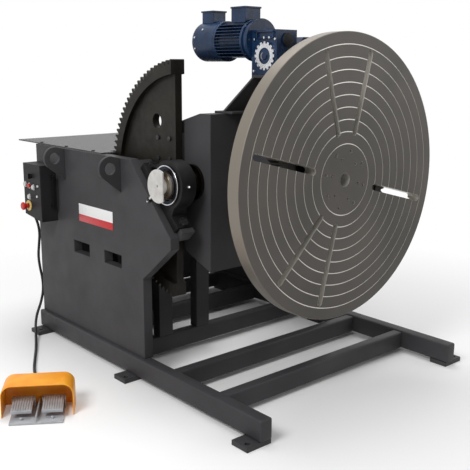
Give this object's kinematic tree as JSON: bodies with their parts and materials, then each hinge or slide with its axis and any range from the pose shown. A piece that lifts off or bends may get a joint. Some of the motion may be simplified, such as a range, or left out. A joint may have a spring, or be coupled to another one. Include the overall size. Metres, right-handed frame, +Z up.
{
  "type": "welding positioner",
  "caption": "Two-axis welding positioner: a geared round table on a tilting head between two bearing seats, on an open rail frame, with a button box and a foot switch.",
  "frame": {"origin": "on the floor, at the centre of the four corner anchor holes", "axes": "+Z up; the table faces -Y at rest; +X is to the right of someone who faces the table; the tilt axis is along X"},
  "size_m": [2.0016, 1.952, 1.6357],
  "materials": {
    "frame_paint": "satin textured dark grey paint",
    "plate_steel": "turned and oiled steel",
    "gear_steel": "dark oiled cut gear",
    "bright_steel": "ground steel",
    "drive_blue": "satin blue paint",
    "guard_orange": "gloss orange-yellow enamel",
    "pedal_alloy": "cast and ribbed",
    "black_plastic": "moulded",
    "white_plastic": "moulded",
    "red_plastic": "moulded",
    "yellow_plastic": "moulded",
    "cable_rubber": "smooth black jacket",
    "fastener": "zinc plated"
  },
  "bodies": {
    "base": {"anchor_pads": "frame_paint", "bearing_seals": "bright_steel", "bearing_seats": "frame_paint", "button_bezels": "bright_steel", "cable_glands": "black_plastic", "control_box": "frame_paint", "control_handle": "black_plastic", "control_plate": "frame_paint", "cover_screws": "fastener", "cross_bars": "frame_paint", "drive_stand": "frame_paint", "foot_switch_base": "pedal_alloy", "foot_switch_cable": "cable_rubber", "foot_switch_hood": "guard_orange", "lifting_lugs": "frame_paint", "pillow_blocks": "gear_steel", "pillow_bolts": "fastener", "pilot_lamps": "white_plastic", "rail_left": "frame_paint", "rail_right": "frame_paint", "rear_panel": "frame_paint", "side_panel_left": "frame_paint", "side_panel_right": "frame_paint", "stop_ring": "yellow_plastic", "tilt_bearings": "bright_steel", "tilt_motor": "drive_blue", "tilt_worm_reducer": "drive_blue", "top_cover": "frame_paint", "treadle_pins": "bright_steel"},
    "tilt_head": {"bearing_drum": "frame_paint", "cam_disc": "bright_steel", "coupling_shaft": "bright_steel", "drive_bracket": "frame_paint", "first_worm_reducer": "drive_blue", "motor_fan_cover": "drive_blue", "motor_front_shield": "drive_blue", "motor_rotor": "bright_steel", "motor_stator": "drive_blue", "motor_terminal_boxes": "drive_blue", "reducer_output_ring": "bright_steel", "second_worm_reducer": "drive_blue", "sector_bolts": "fastener", "sector_gear": "gear_steel", "slewing_inner_race": "gear_steel", "tilt_box": "frame_paint", "tilt_box_hatch": "frame_paint", "trunnions": "bright_steel"},
    "table": {"face_plate": "plate_steel", "slewing_ring_gear": "gear_steel"},
    "ring_pinion_body": {"ring_pinion": "gear_steel"},
    "tilt_pinion_body": {"tilt_pinion": "gear_steel"},
    "selector": {"selector_knob": "black_plastic"},
    "jog_rear": {"jog_button_rear": "white_plastic"},
    "jog_front": {"jog_button_front": "white_plastic"},
    "halt": {"halt_button": "red_plastic"},
    "start": {"start_button": "white_plastic"},
    "stop": {"stop_head": "red_plastic"},
    "treadle_l": {"treadle_left": "pedal_alloy"},
    "treadle_r": {"treadle_right": "pedal_alloy"}
  },
  "joints": [
    {"name": "tilt", "type": "hinge", "parent": "base", "child": "tilt_head", "pos_m": [0, -0.205, 0.912], "axis": [1, 0, 0], "range_deg": [-90, 45]},
    {"name": "table_spin", "type": "hinge", "parent": "tilt_head", "child": "table", "pos_m": [0, -0.604, 0.933], "axis": [0, 1, 0], "continuous": true},
    {"name": "ring_pinion_spin", "type": "hinge", "parent": "tilt_head", "child": "ring_pinion_body", "pos_m": [-0.015, -0.57, 1.32471], "axis": [0, 1, 0], "continuous": true},
    {"name": "tilt_pinion_spin", "type": "hinge", "parent": "base", "child": "tilt_pinion_body", "pos_m": [-0.48, 0.31884, 0.69502], "axis": [1, 0, 0], "range_deg": [-370, 730]},
    {"name": "selector_turn", "type": "hinge", "parent": "base", "child": "selector", "pos_m": [-0.704, 0.778, 0.852], "axis": [1, 0, 0], "range_deg": [-45, 45]},
    {"name": "jog_press_rear", "type": "slide", "parent": "base", "child": "jog_rear", "axis": [1, 0, 0], "range_m": [0, 0.004], "stiffness_N_per_m": 800, "springref_m": -0.002},
    {"name": "halt_press", "type": "slide", "parent": "base", "child": "halt", "axis": [1, 0, 0], "range_m": [0, 0.004], "stiffness_N_per_m": 800, "springref_m": -0.002},
    {"name": "jog_press_front", "type": "slide", "parent": "base", "child": "jog_front", "axis": [1, 0, 0], "range_m": [0, 0.004], "stiffness_N_per_m": 800, "springref_m": -0.002},
    {"name": "start_press", "type": "slide", "parent": "base", "child": "start", "axis": [1, 0, 0], "range_m": [0, 0.004], "stiffness_N_per_m": 800, "springref_m": -0.002},
    {"name": "stop_press", "type": "slide", "parent": "base", "child": "stop", "axis": [1, 0, 0], "range_m": [0, 0.004]},
    {"name": "treadle_press_left", "type": "hinge", "parent": "base", "child": "treadle_l", "pos_m": [-1.16039, 0.02989, 0.042], "axis": [0.8387, -0.5446, 0], "range_deg": [0, 7], "stiffness_Nm_per_rad": 20, "springref_deg": -4.98},
    {"name": "treadle_press_right", "type": "hinge", "parent": "base", "child": "treadle_r", "pos_m": [-1.0564, -0.03764, 0.042], "axis": [0.8387, -0.5446, 0], "range_deg": [0, 7], "stiffness_Nm_per_rad": 20, "springref_deg": -4.98}
  ],
  "couplings": [
    {"joint": "ring_pinion_spin", "follows": "table_spin", "ratio": -7.1667},
    {"joint": "tilt_pinion_spin", "follows": "tilt", "ratio": -8}
  ]
}
